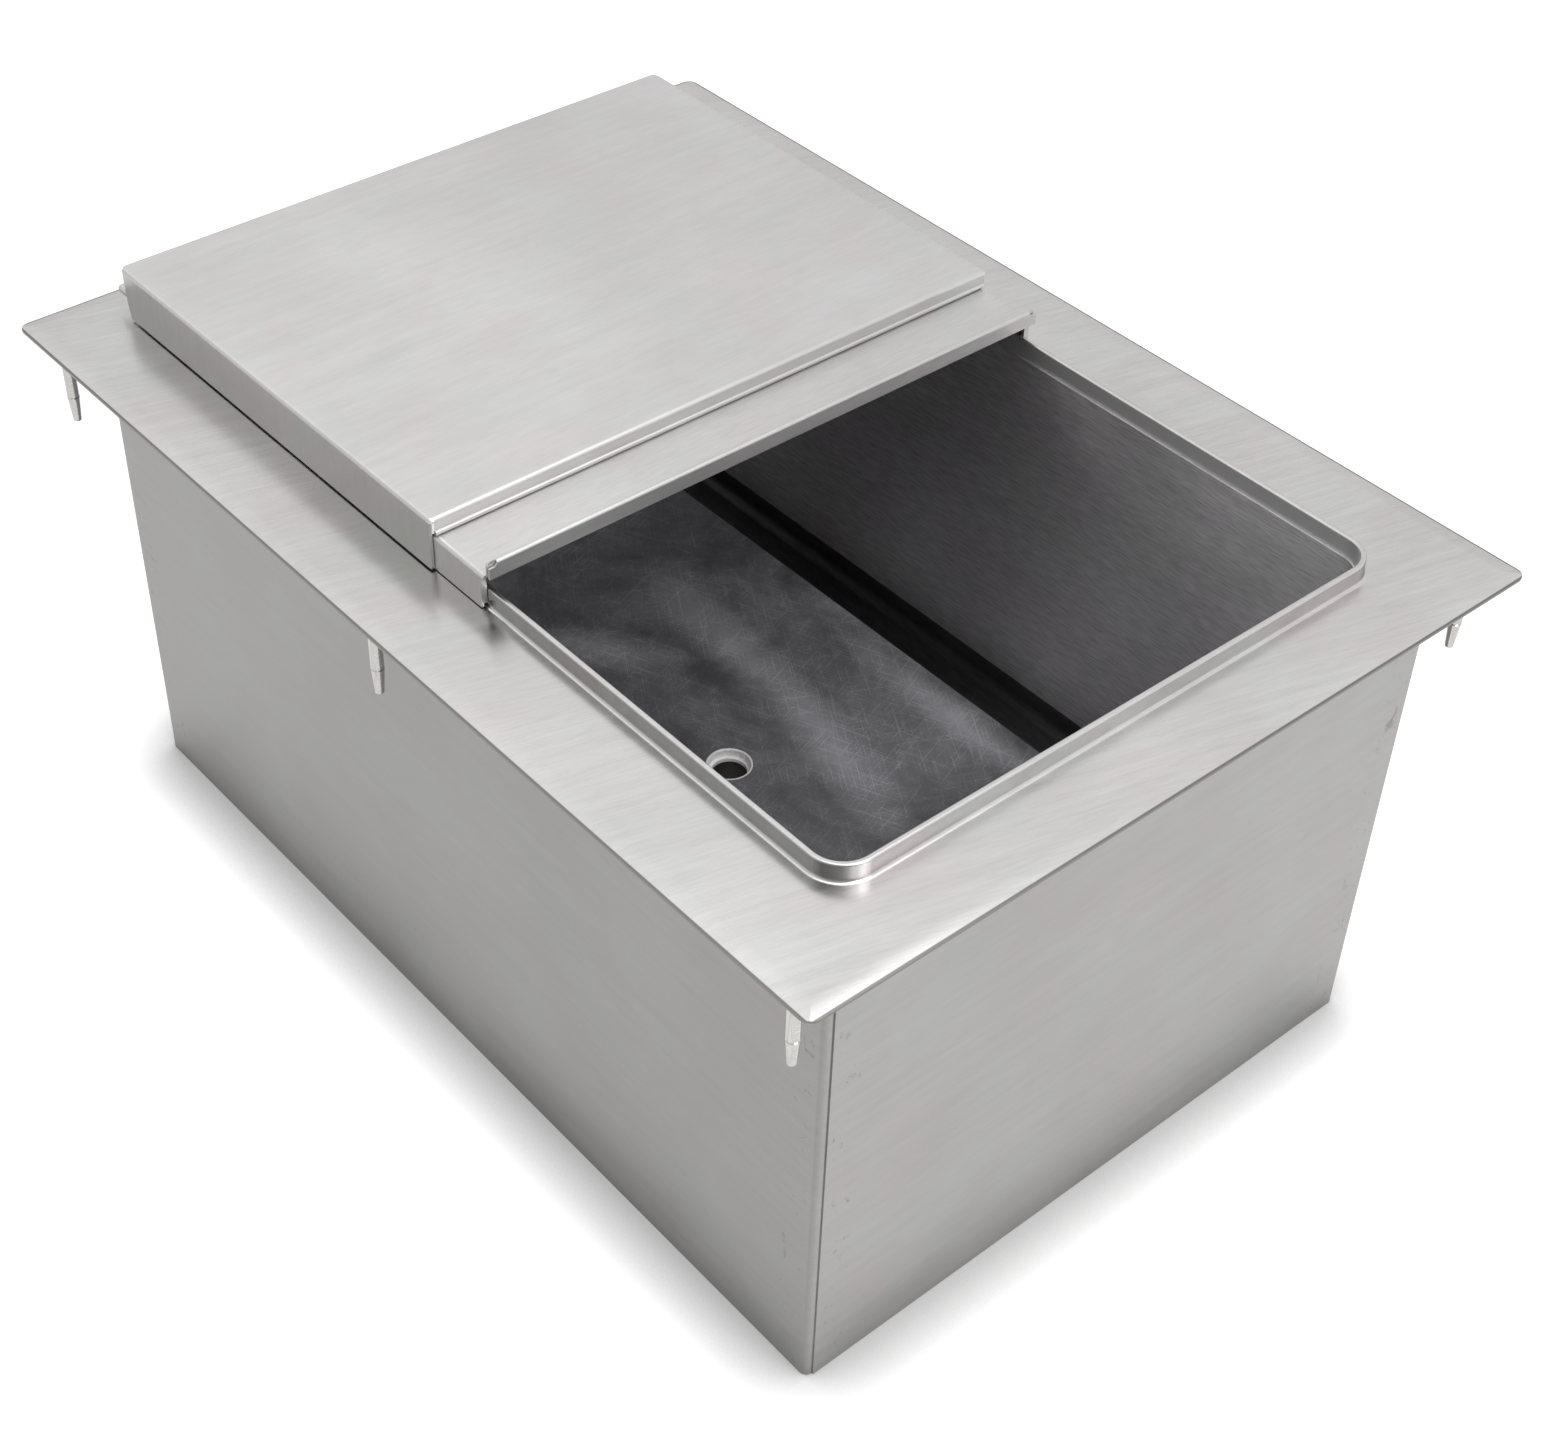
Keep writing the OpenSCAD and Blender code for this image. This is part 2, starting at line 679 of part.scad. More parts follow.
module lower_cover() {
    inner_r = tight_inner_r;
    leaf_x = lip_x - 2 * cover_t - hem_gap;
    top_end = leaf_x - inner_r;
    skirt_end = top_end - skirt_short;
    lip_y = lower_y - lip_short;
    tongue_foot = tongue_top - tongue_edge;
    color(steel) {
        difference() {
            channel(lower_x0 + tight_bend, top_end, lower_y, skirt_foot, lower_top, cover_bend);
            translate([lower_x0 - past, -lower_y - past, skirt_foot - past])
                cube([lower_skirt_x - lower_x0 + past, 2 * (lower_y + past), tongue_foot - skirt_foot + past]);
            translate([skirt_end, -lower_y - past, skirt_foot - past])
                cube([skirt_short + past, 2 * (lower_y + past), lower_top - cover_bend - skirt_foot + past]);
            nest_relief();
        }
        stepped_end(tongue_foot);
        difference() {
            channel(tongue_x, lower_x0, lower_y, tongue_foot, tongue_top, tight_bend);
            translate([lower_x0 - inner_r, cover_t - lower_y, tongue_foot])
                cube([inner_r + past, 2 * (lower_y - cover_t), tongue_edge + past]);
        }
        // Upright returns at the right ends of the skirts, cut short above the rim's bend
        for (side = [0, 1]) mirror([0, side, 0])
            translate([skirt_end - cover_t, rim_y + slide_gap, deck_top + foot_r + slide_gap])
                cube([cover_t, lower_y - rim_y - slide_gap, lower_top - cover_bend - deck_top - foot_r - slide_gap]);
        difference() {
            across(lip_y) lip_section();
            for (side = [0, 1]) mirror([0, side, 0]) {
                lip_end(lip_y);
                hem_notch(lip_y);
            }
        }
    }
}

// What lies outside the rounded corner at one end of the finger lip
module lip_end(lip_y) {
    leaf_x = lip_x - 2 * cover_t - hem_gap;
    translate([leaf_x - past, lip_y - lip_corner, lip_top - lip_corner])
        rotate([90, 0, 90]) linear_extrude(lip_x - leaf_x + 2 * past) difference() {
            square(lip_corner + past);
            circle(lip_corner);
        }
}

// Notch at one end of the hem, cut in from the outside and over the fold down to the inner leaf
module hem_notch(lip_y) {
    translate([lip_x - cover_t - hem_gap, 0, 0]) rotate([90, 0, 90]) linear_extrude(cover_t + hem_gap + past)
        polygon([[lip_y - notch_w, lip_top + past], [lip_y + past, lip_top + past],
            [lip_y + past, lip_top - notch_h], [lip_y - notch_w + notch_h / 2, lip_top - notch_h],
            [lip_y - notch_w, lip_top - notch_h / 2]]);
}

flange_deck();
liner_walls();
liner_floor();
floor_plate();
case_front();
case_back();
case_left();
case_right();
case_bottom();
insulation_front();
insulation_back();
insulation_left();
insulation_right();
insulation_base();
drain_collar();
drain_pipe();
drain_socket();
drain_grommet();
mounting_studs();
stud_noses();
upper_cover();
lower_cover();
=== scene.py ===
# %% [markdown]
# A drop-in ice bin, the kind that hangs by its flange in a cut-out of a bar counter. Its construction is
# finished already: every sheet, fold and stud arrives as a CAD node in its final size. What is left to
# Blender is how it looks, which for such a bin means stainless steel in several finishes, a cast floor plate,
# foam and rubber. The lesson goes from the frame to the camera and light, then from one finish to the next.
# The first cell loads the model, moves each node's placing into its mesh, and removes everything but the
# meshes.

# %% Load the imported model
import math

import bpy
from mathutils import Matrix, Vector

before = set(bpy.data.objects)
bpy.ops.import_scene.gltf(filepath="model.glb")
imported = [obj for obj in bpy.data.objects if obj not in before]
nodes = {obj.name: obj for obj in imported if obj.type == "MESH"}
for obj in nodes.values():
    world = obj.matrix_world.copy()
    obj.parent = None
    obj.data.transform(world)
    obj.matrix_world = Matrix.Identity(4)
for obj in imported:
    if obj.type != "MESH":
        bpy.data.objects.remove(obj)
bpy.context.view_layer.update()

# %% [markdown]
# The camera stands where the photographer stood: in front of the right-hand corner and well above it.
# Heading, pitch and roll were worked out from the straight edges of the bin. Heading is counted
# anticlockwise from +Y, and pitch is how far the camera looks down.

# %% Camera
IMAGE_W = 1568
FOCAL_PX = 2535.8
SENSOR_MM = 36.0
CAMERA_AT = Vector((0.7669, -0.6569, 0.9919))
HEADING = math.radians(47.80)
PITCH_DOWN = math.radians(41.36)
ROLL = math.radians(2.28)


def make_camera():
    """The photograph's viewpoint as a Blender camera."""
    data = bpy.data.cameras.new("camera")
    data.sensor_width = SENSOR_MM
    data.sensor_fit = "HORIZONTAL"
    data.lens = FOCAL_PX / IMAGE_W * SENSOR_MM
    data.clip_start = 0.01
    camera = bpy.data.objects.new("camera", data)
    turn = Matrix.Rotation(HEADING, 4, "Z")
    tilt = Matrix.Rotation(math.radians(90) - PITCH_DOWN, 4, "X")
    roll = Matrix.Rotation(ROLL, 4, "Z")
    camera.matrix_world = Matrix.Translation(CAMERA_AT) @ turn @ tilt @ roll
    bpy.context.scene.collection.objects.link(camera)
    bpy.context.scene.camera = camera
    return camera


camera = make_camera()
bpy.context.scene.view_settings.view_transform = "Standard"
print("lens:", round(camera.data.lens, 2), "mm")

# %% [markdown]
# A person picks a colour on a screen as an sRGB hex code, and the renderer works in linear light. The
# first helper turns one into the other.

# %% Helper for colours
WHITE = "FFFFFF"


def srgb(code, alpha=1.0):
    """A hex colour such as "C8C6C2" as linear RGBA."""
    parts = [int(code[i:i + 2], 16) / 255 for i in (0, 2, 4)]
    linear = [p / 12.92 if p <= 0.04045 else ((p + 0.055) / 1.055) ** 2.4 for p in parts]
    return (*linear, alpha)


print("mid grey in linear light:", round(srgb("808080")[0], 3))

# %% [markdown]
# All the materials here are built of shader nodes and no picture files, so they stay sharp at any
# distance. One helper adds a node, sets its sockets or its properties by name, and links what feeds
# it. The others are short words for the nodes that come back in every material: a sum, a spread over
# a range, a mix, a noise, a ramp of colours.

# %% Helpers for nodes


def add(tree, kind, settings=None):
    """Adds a node. A setting is a property or a socket, and another node's output is linked to it."""
    node = tree.nodes.new(kind)
    for name, value in (settings or {}).items():
        if isinstance(value, bpy.types.NodeSocket):
            tree.links.new(value, node.inputs[name])
        elif isinstance(name, str) and hasattr(node, name):
            setattr(node, name, value)
        else:
            node.inputs[name].default_value = value
    return node


def new_material(name):
    """An empty material and its node tree."""
    material = bpy.data.materials.new(name)
    material.use_nodes = True
    material.node_tree.nodes.clear()
    return material, material.node_tree


def show(tree, shader):
    """Links a shader to the material's output."""
    add(tree, "ShaderNodeOutputMaterial", {"Surface": shader.outputs[0]})


def calc(tree, operation, *terms):
    """Result of a Math node, whose terms are numbers or outputs of other nodes."""
    return add(tree, "ShaderNodeMath", {"operation": operation, **dict(enumerate(terms))}).outputs[0]


def span(tree, source, low, high, to_low=0.0, to_high=1.0):
    """Spreads the values between low and high over another range, and holds them at its ends."""
    node = add(tree, "ShaderNodeMapRange", {"Value": source, "From Min": low, "From Max": high,
                                            "To Min": to_low, "To Max": to_high})
    return node.outputs["Result"]


def split(tree, vector):
    """X, Y and Z of a vector."""
    return add(tree, "ShaderNodeSeparateXYZ", {0: vector}).outputs


MIX_SOCKETS = {"FLOAT": (2, 3, 0), "VECTOR": (4, 5, 1), "RGBA": (6, 7, 2)}


def mix(tree, kind, factor, first, second, blend="MIX"):
    """Goes from the first to the second as the factor goes from 0 to 1."""
    a, b, result = MIX_SOCKETS[kind]
    node = add(tree, "ShaderNodeMix", {"data_type": kind, "blend_type": blend,
                                       0: factor, a: first, b: second})
    return node.outputs[result]


def noise(tree, vector, size, detail=2.0, roughness=0.5, distortion=0.0):
    """A noise value whose spots are about this size."""
    node = add(tree, "ShaderNodeTexNoise", {"Vector": vector, "Scale": 1 / size, "Detail": detail,
                                            "Roughness": roughness, "Distortion": distortion})
    return node.outputs["Fac"]


# Noise seldom leaves this range
NOISE_LOW = 0.3
NOISE_HIGH = 0.7


def ramp(tree, source, low, high, start=NOISE_LOW, end=NOISE_HIGH):
    """Turns a grey value into a colour between two hex colours."""
    node = add(tree, "ShaderNodeValToRGB", {"Fac": source})
    ends = node.color_ramp.elements
    for element, position, code in ((ends[0], start, low), (ends[1], end, high)):
        element.position = position
        element.color = srgb(code)
    return node.outputs["Color"]


def to_range(tree, source, low, high):
    """Spreads a noise value over the range from low to high."""
    return span(tree, source, NOISE_LOW, NOISE_HIGH, low, high)


print("noise is spread from", NOISE_LOW, "to", NOISE_HIGH)

# %% [markdown]
# The studio is a plain white floor that runs to a white horizon. Metal shows what stands round it, so
# the floor and the world are white to camera, glossy and transmission rays alike, and only diffuse
# light sees a lower level. The floor stays a real surface under that, so the bin still casts a shadow.
# Since the glow would wash out the dark line where the bin meets the floor, an ambient occlusion node
# takes the glow back close to the foot. It draws most of the contact shadow, and the lamps the rest.

# %% Studio: world and floor
WORLD_DIFFUSE = 0.50
FLOOR_COLOUR = "9C9C9C"
FLOOR_SIZE = 16.0
FLOOR_Z = -0.0004
# How far the contact shadow reaches, how much glow is left at the foot, and how fast it comes back
CONTACT_REACH = 0.042
CONTACT_GLOW = 0.27
CONTACT_CURVE = 1.5
CONTACT_SAMPLES = 8
# An endless wall hides half of the sky from a point at its foot
HALF_OPEN = 0.5


def seen_directly(tree):
    """1 for camera, glossy and transmission rays, and 0 for diffuse ones."""
    path = add(tree, "ShaderNodeLightPath").outputs
    first = calc(tree, "MAXIMUM", path["Is Camera Ray"], path["Is Glossy Ray"])
    return calc(tree, "MAXIMUM", first, path["Is Transmission Ray"])


def make_world():
    """White where it is seen, and a plain level where it only lights."""
    world = bpy.data.worlds.new("studio")
    world.use_nodes = True
    tree = world.node_tree
    tree.nodes.clear()
    level = span(tree, seen_directly(tree), 0.0, 1.0, WORLD_DIFFUSE, 1.0)
    light = add(tree, "ShaderNodeBackground", {"Color": srgb(WHITE), "Strength": level})
    add(tree, "ShaderNodeOutputWorld", {"Surface": light.outputs[0]})
    bpy.context.scene.world = world
    return world


def make_floor():
    """A matt floor that glows a little to the rays that see it, less so close to the bin's foot."""
    material, tree = new_material("studio_floor")
    near = add(tree, "ShaderNodeAmbientOcclusion", {"Distance": CONTACT_REACH, "samples": CONTACT_SAMPLES})
    open_air = calc(tree, "POWER", span(tree, near.outputs["AO"], HALF_OPEN, 1.0), CONTACT_CURVE)
    level = calc(tree, "MULTIPLY", seen_directly(tree), span(tree, open_air, 0.0, 1.0, CONTACT_GLOW, 1.0))
    matt = add(tree, "ShaderNodeBsdfDiffuse", {"Color": srgb(FLOOR_COLOUR)})
    glow = add(tree, "ShaderNodeEmission", {"Color": srgb(WHITE), "Strength": level})
    show(tree, add(tree, "ShaderNodeAddShader", {0: matt.outputs[0], 1: glow.outputs[0]}))
    bpy.ops.mesh.primitive_plane_add(size=FLOOR_SIZE, location=(0, 0, FLOOR_Z))
    floor = bpy.context.active_object
    floor.name = "floor"
    floor.data.materials.append(material)
    return floor


print("studio:", make_world().name, "and", make_floor().name)

# %% [markdown]
# Three softboxes light the bin. A wide one hangs over its open end, so that it reaches down to the
# floor plate and the shadow stays close to the foot. A second one comes from the right and reaches the
# floor plate under the covers. The third is a weak one to the left, placed where the rolled border of
# the flange mirrors it. Where a lamp stands matters as much as its power. With the overhead one
# further to the left, the border mirrored it and burnt out, and while the right one was half as wide
# it burnt a spot on the rim's corner. Level steel still burns out when seen from right above, because
# it then mirrors the overhead lamp. Two upright scrims of thin grey cloth stand behind the bin, one
# high and one low, and dim what the flange mirrors. They stand out of the picture of this camera, but
# not of every other one.

# %% Studio: softboxes and scrims
CLOTH = "808080"


def make_softbox(name, at, aim, size, power):
    """An area lamp at a place, turned to a point. Sizes are in metres and the power is in watts."""
    data = bpy.data.lights.new(name, "AREA")
    data.shape = "RECTANGLE"
    data.size, data.size_y = size
    data.energy = power
    lamp = bpy.data.objects.new(name, data)
    lamp.location = at
    lamp.rotation_euler = (Vector(aim) - Vector(at)).to_track_quat("-Z", "Y").to_euler()
    lamp.visible_camera = False
    bpy.context.scene.collection.objects.link(lamp)
    return lamp


def make_scrim(name, at, size, opacity):
    """An upright sheet of thin grey cloth, turned to face the bin."""
    material, tree = new_material(name)
    cloth = add(tree, "ShaderNodeBsdfDiffuse", {"Color": srgb(CLOTH)})
    clear = add(tree, "ShaderNodeBsdfTransparent")
    show(tree, add(tree, "ShaderNodeMixShader", {0: opacity, 1: clear.outputs[0], 2: cloth.outputs[0]}))
    bpy.ops.mesh.primitive_plane_add(size=1.0, location=at)
    scrim = bpy.context.active_object
    scrim.name = name
    scrim.scale = (*size, 1.0)
    scrim.rotation_euler = (Vector((0.0, 0.0, at[2])) - Vector(at)).to_track_quat("Z", "Y").to_euler()
    scrim.data.materials.append(material)
    return scrim


make_softbox("overhead_softbox", (0.65, 0.0, 2.1), (0.3, 0.0, 0.1), (2.1, 2.1), 18.5)
make_softbox("right_softbox", (2.1, 0.0, 1.9), (-0.1, 0.0, 0.1), (1.4, 1.4), 22.5)
make_softbox("side_softbox", (-1.4, 0.0, 2.2), (-0.6, 0.0, 0.3), (2.6, 1.3), 1.1)
make_scrim("grey_scrim", (-1.9, 1.7, 1.5), (5.0, 1.5), 0.16)
make_scrim("low_scrim", (-1.9, 1.7, 0.38), (5.0, 0.70), 0.42)

# %% [markdown]
# Stainless sheet of grade 304 is bought with a satin finish: an abrasive belt has drawn fine, nearly
# parallel scratches along the sheet. Each scratch throws light sideways, so what the sheet mirrors is
# blurred across the grain and stays sharper along it. That is what Anisotropic does, with a tangent
# that points across the grain. The eye also takes in faint streaks, so noise is stretched along the
# grain. On most sheets it runs another way on the long upright faces, as if they had been brushed
# before they were bent. Real scratches are about 0.05 mm wide. They are drawn about sixteen times as
# coarse, so that they show at this distance.

# %% Grain of brushed sheet
SCRATCH_W = 0.0008
SCRATCH_L = 0.011
BAND_W = 0.005
BAND_L = 0.090
# A face looks along an axis where that part of its normal is greater than this
SQUARE_ON = 0.7


def grain_scale(axis, width, length):
    """Scale of a Mapping node that stretches noise along one axis."""
    scale = [1 / width] * 3
    scale["XYZ".index(axis)] = 1 / length
    return scale


def long_sides(tree, coords):
    """1 on faces that look to the front or back, where the grain may run another way, and 0 elsewhere."""
    size = calc(tree, "ABSOLUTE", split(tree, coords["Normal"])["Y"])
    return calc(tree, "GREATER_THAN", size, SQUARE_ON)


def turned(tree, coords, angle):
    """Object coordinates turned about the upright axis, so that the grain lies slantwise."""
    return add(tree, "ShaderNodeVectorRotate", {"rotation_type": "Z_AXIS", "Angle": angle,
                                                "Vector": coords["Object"]}).outputs[0]


def streaks(tree, place, side, axes, width, length):
    """Noise stretched along the first axis, and along the second one on the long sides."""
    stretched = [add(tree, "ShaderNodeMapping", {"Vector": place, "Scale": grain_scale(axis, width, length)})
                 for axis in axes]
    place = mix(tree, "VECTOR", side, *[node.outputs[0] for node in stretched])
    return noise(tree, place, 1.0, roughness=0.55)


print("scratches:", SCRATCH_W * 1000, "by", SCRATCH_L * 1000, "mm")

# %% [markdown]
# In the photo the faces that look to the front are darker than the others, and so are the bends
# between them and the ends. One sheet has one reflectance all round, so this probably comes from dark
# surroundings on that side, which the photo doesn't show. Here a tone stands in for them: the colour
# itself is multiplied by a grey, which was changed until the greys met those of the photo. It is a
# trick and not a property of steel. For a neutral part, the front and bends tones of all finishes are
# set to WHITE.

# %% Tones by the way a face looks
# The front tone fades in between these values of the normal's Y
FRONT_FROM = -0.45
FRONT_FULL = -0.95
# On an upright bend, X times Y of the normal grows from nothing to a half
BEND_FROM = 0.12
BEND_FULL = 0.35


def looks_front(tree, coords):
    """1 on faces that look to the front in the front half, fading out round a bend, and 0 elsewhere."""
    front = span(tree, split(tree, coords["Normal"])["Y"], FRONT_FROM, FRONT_FULL)
    half = calc(tree, "LESS_THAN", split(tree, coords["Object"])["Y"], 0.0)
    return calc(tree, "MULTIPLY", front, half)


def on_bends(tree, coords):
    """1 on upright bends, whose normals lie between the X and the Y axis, and 0 elsewhere."""
    normal = split(tree, coords["Normal"])
    size = calc(tree, "ABSOLUTE", calc(tree, "MULTIPLY", normal["X"], normal["Y"]))
    return span(tree, size, BEND_FROM, BEND_FULL)


def toned(tree, mask, colour, tone):
    """Multiplies a colour by a tone where the mask is 1."""
    return mix(tree, "RGBA", mask, colour, srgb(tone), "MULTIPLY")


print("a front tone of C6C6C6 leaves", round(srgb("C6C6C6")[0], 3), "of the light")

# %% [markdown]
# Making the bin leaves marks, and one mask also paints shade. The case's corners were spot welded, which
# leaves small broken scuffs in a strip beside each one. The flange's border was sheared before it was rolled
# down, and its last millimetre and cut edge are darker: partly the duller sheared steel, and partly painted
# shade where the border turns down. The inner face of the rim looks duller and lighter than the rest of the
# flange, perhaps from hands and scoops. Each mark is a mask worked out from where a point lies and how it
# faces.

# %% Marks of welding and use, and painted shade on the border's edge
WELD_STRIP = 0.014
SCUFF = 0.009
SCUFF_TONE = "C4C2C0"
# A scuff begins at the first of these noise values and is full at the second
SCUFF_LEVELS = (0.60, 0.72)
# Half lengths along X and Y of the case, of what lies inside the rim, and of where the border begins
CASE_HALVES = (0.281, 0.1865)
MOUTH_HALVES = (0.2592, 0.1647)
BORDER_HALVES = (0.290, 0.205)
# The border's painted shade lies below this height, and fades into the steel above over a tenth of a
# millimetre
EDGE_SHADE_BELOW = 0.28448
EDGE_SHADE_FADE = 0.0001
# Colour of the painted shade on the border, over the duller sheared edge
SHEARED_EDGE_SHADE_COLOUR = "7A7875"
# Z of the normal of an upright face is smaller than this
UPRIGHT = 0.5
MOUTH_COLOUR = "CAC9C8"
MOUTH_ROUGHNESS = 0.48
UP = (0.0, 0.05, 1.0)


def scuffs_by_corners(tree, coords):
    """Small broken marks in the strips beside the upright corners, where the sheets were spot welded."""
    normal = split(tree, coords["Normal"])
    place = split(tree, coords["Object"])
    strips = []
    for along, across, half in (("X", "Y", CASE_HALVES[0]), ("Y", "X", CASE_HALVES[1])):
        faces = calc(tree, "ABSOLUTE", normal[across])
        away = calc(tree, "ABSOLUTE", place[along])
        near = calc(tree, "COMPARE", away, half - WELD_STRIP, WELD_STRIP / 2)
        strips.append(calc(tree, "MULTIPLY", faces, near))
    marks = noise(tree, coords["Object"], SCUFF, 4.0, 0.7, 1.2)
    return calc(tree, "MULTIPLY", calc(tree, "MAXIMUM", *strips), span(tree, marks, *SCUFF_LEVELS))


def faces_mouth(tree, coords):
    """1 on the inner face of the rim round the mouth, and 0 elsewhere."""
    place = split(tree, coords["Object"])
    mask = calc(tree, "COMPARE", split(tree, coords["Normal"])["Z"], 0.0, UPRIGHT)
    for axis, half in zip("XY", MOUTH_HALVES):
        mask = calc(tree, "MULTIPLY", mask, calc(tree, "COMPARE", place[axis], 0.0, half))
    # Without this, the rim's rounded corners would be taken in from outside as well
    level = add(tree, "ShaderNodeVectorMath", {"operation": "MULTIPLY", 0: coords["Object"],
                                               1: (1.0, 1.0, 0.0)})
    outward = add(tree, "ShaderNodeVectorMath", {"operation": "DOT_PRODUCT", 0: coords["Normal"],
                                                 1: level.outputs[0]})
    return calc(tree, "MULTIPLY", mask, calc(tree, "LESS_THAN", outward.outputs["Value"], 0.0))


def on_sheared_edge_shade(tree, coords):
    """Painted shade over duller sheared steel: 1 on the last millimetre of the rolled border and on its edge,
    and 0 elsewhere.
    """
    place = split(tree, coords["Object"])
    past = [calc(tree, "GREATER_THAN", calc(tree, "ABSOLUTE", place[axis]), half)
            for axis, half in zip("XY", BORDER_HALVES)]
    upper = calc(tree, "GREATER_THAN", split(tree, coords["Normal"])["Z"], -UPRIGHT)
    outside = calc(tree, "MULTIPLY", calc(tree, "MAXIMUM", *past), upper)
    low = span(tree, place["Z"], EDGE_SHADE_BELOW, EDGE_SHADE_BELOW - EDGE_SHADE_FADE)
    return calc(tree, "MULTIPLY", outside, low)


print("weld scuffs:", WELD_STRIP * 1000, "mm from the corners")

# %% [markdown]
# One function makes every steel finish. Streaks and slow clouds set both the colour and the roughness,
# because the belt pressed more or less from place to place, and a second cloud shifts the hue by a
# trace. The scratches are also a faint relief.

# %% One function for every steel finish
CLOUD = 0.10
HUE_CLOUD = 0.045
SCRATCH_DEPTH = 0.00004
CLOUD_SHARE = 0.6
# The parts of the noise that the ramps of tone and streak spread over their colours
TONE_FROM = 0.35
TONE_FULL = 0.65
STREAK_FULL = 0.62
ALONG_X = (1.0, 0.0, 0.15)


def brushed_steel(name, dark, light, roughness, grain="YZ", slant=0.0, across=ALONG_X, spread=0.04,
                  scratch=0.06, anisotropy=0.6, streak="E6E6E6", front=WHITE, bends=WHITE, metallic=1.0,
                  sheared_edge_shade=False, dull_mouth=False, weld_scuffs=False):
    """Stainless sheet: streaks and clouds in colour and roughness, scratches in relief, marks and painted
    shade on demand.
    """
    material, tree = new_material(name)
    coords = add(tree, "ShaderNodeTexCoord").outputs
    side = long_sides(tree, coords)
    place = turned(tree, coords, slant)
    fine = streaks(tree, place, side, grain, SCRATCH_W, SCRATCH_L)
    band = streaks(tree, place, side, grain, BAND_W, BAND_L)
    cloud = noise(tree, coords["Object"], CLOUD, 3.0, 0.5, 0.3)
    tone = mix(tree, "FLOAT", CLOUD_SHARE, band, cloud)
    hue = noise(tree, coords["Object"], HUE_CLOUD, 1.0, distortion=0.4)
    base = ramp(tree, tone, dark, light, TONE_FROM, TONE_FULL)
    tint = ramp(tree, hue, "FFFBFC", "FDFFFE", TONE_FROM, TONE_FULL)
    lines = ramp(tree, fine, streak, WHITE, NOISE_LOW, STREAK_FULL)
    colour = mix(tree, "RGBA", 1.0, mix(tree, "RGBA", 1.0, base, tint, "MULTIPLY"), lines, "MULTIPLY")
    colour = toned(tree, looks_front(tree, coords), colour, front)
    colour = toned(tree, on_bends(tree, coords), colour, bends)
    rough = to_range(tree, tone, roughness - spread, roughness + spread)
    tangent = add(tree, "ShaderNodeCombineXYZ", dict(zip("XYZ", across))).outputs[0]
    if weld_scuffs:
        colour = toned(tree, scuffs_by_corners(tree, coords), colour, SCUFF_TONE)
    # Painted shade on the border's last millimetre and cut edge
    if sheared_edge_shade:
        colour = mix(tree, "RGBA", on_sheared_edge_shade(tree, coords), colour, srgb(SHEARED_EDGE_SHADE_COLOUR))
    if dull_mouth:
        mouth = faces_mouth(tree, coords)
        colour = mix(tree, "RGBA", mouth, colour, srgb(MOUTH_COLOUR))
        rough = mix(tree, "FLOAT", mouth, rough, MOUTH_ROUGHNESS)
        tangent = mix(tree, "VECTOR", mouth, tangent, UP)
    relief = add(tree, "ShaderNodeBump", {"Strength": scratch, "Distance": SCRATCH_DEPTH, "Height": fine})
    show(tree, add(tree, "ShaderNodeBsdfPrincipled", {
        "Metallic": metallic, "Anisotropic": anisotropy, "Base Color": colour, "Roughness": rough,
        "Normal": relief.outputs["Normal"], "Tangent": tangent}))
    return material


def dress(material, *names):
    """Gives CAD nodes one material, whatever slots they came with."""
    for name in names:
        slots = nodes[name].data.materials
        slots.clear()
        slots.append(material)
    print(material.name, "on", ", ".join(names))


print("clouds on steel are about", CLOUD * 1000, "mm wide")

# %% [markdown]
# The flange and the rim are one sheet, brushed at a slight slant. Of all the sheets it mirrors the most
# sharply, and it has the painted shade on its sheared edge and the dulled mouth.

# %% Flange and rim
dress(brushed_steel("deck_satin_304", "C8C7C6", "D4D3D3", 0.26, slant=0.25, scratch=0.03, streak="F8F8F8",
                    front="C6C6C6", bends="B6B6B6", sheared_edge_shade=True, dull_mouth=True), "flange_deck")

# %% [markdown]
# The two covers are trays folded from sheet. Their finish is set a little paler than the flange's, and
# it blurs more of what it mirrors, the lower cover's most.

# %% Covers
dress(brushed_steel("upper_cover_satin_304", "CECDCC", "D6D5D5", 0.32, streak="F9F9F9", scratch=0.02,
                    anisotropy=0.8, front="E1E0DF"), "upper_cover")
dress(brushed_steel("lower_cover_satin_304", "CECDCC", "D6D5D5", 0.38, streak="F5F5F5", scratch=0.03,
                    anisotropy=0.85, front="F0F0F0"), "lower_cover")

# %% [markdown]
# The outer case hides under the counter, so its finish matters least to the maker. Its colour is greyer than
# the flange's and darker than satin steel is: painted shade, which darkens what its upright faces mirror. It
# blurs more of what it mirrors, and has the scuffs of spot welding beside its corners.

# %% Outer case
# Case colour: painted shade, darker than satin steel is
dress(brushed_steel("case_satin_304_painted_shade", "9C9B9A", "A6A5A4", 0.38, grain="YX", across=(0.0, 0.0, 1.0),
                    scratch=0.03, streak="FBFBFB", front="E9E9E9", bends="F4F4F4", weld_scuffs=True),
      "case_front", "case_back", "case_left", "case_right", "case_bottom")

# %% [markdown]
# The liner's streaks run lengthwise, so its two end walls cut across them and show none. Its coved
# floor pan shows as the gutter round the floor plate. The pan's colour is darker than steel is. In the
# photo the gutter is nearly black, darker than the light of this studio leaves it, and the colour
# makes up part of the difference.

# %% Liner and gutter
# Liner colour: painted light, paler than satin steel is, for the dim inside of the tub
dress(brushed_steel("liner_satin_304_painted_light", "DEDDDE", "EBEAEB", 0.46, grain="XX", across=UP, anisotropy=0.7,
                    streak="DADADA"), "liner_walls")
